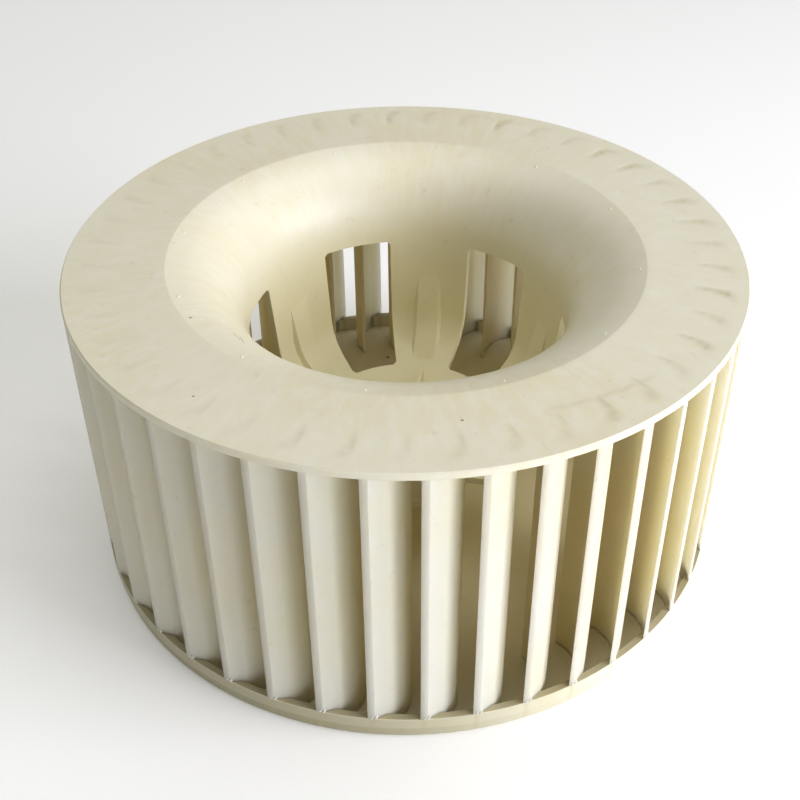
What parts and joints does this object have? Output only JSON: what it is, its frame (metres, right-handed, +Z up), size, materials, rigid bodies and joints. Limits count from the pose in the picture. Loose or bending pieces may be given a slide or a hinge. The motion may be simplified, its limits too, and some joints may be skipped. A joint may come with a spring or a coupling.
{
  "type": "centrifugal fan wheel",
  "caption": "Moulded centrifugal fan wheel: a ring plate runs by a bell into a windowed cup with a hub, inside a ring of forward-curved blades on a closing disc.",
  "frame": {"origin": "centre of the foot of the rim, on the surface that the wheel stands on", "axes": "+Z up along the wheel's axis towards the bell; +X through the middle of one web of the cup"},
  "size_m": [0.25, 0.25, 0.123],
  "materials": {
    "cream_plastic": "satin, off-white to cream",
    "disc_plastic": "satin, off-white to cream",
    "bush_steel": "turned, plain"
  },
  "bodies": {
    "root": {"fan_wheel": "cream_plastic", "closing_disc": "disc_plastic", "hub_bush": "bush_steel"}
  },
  "joints": []
}
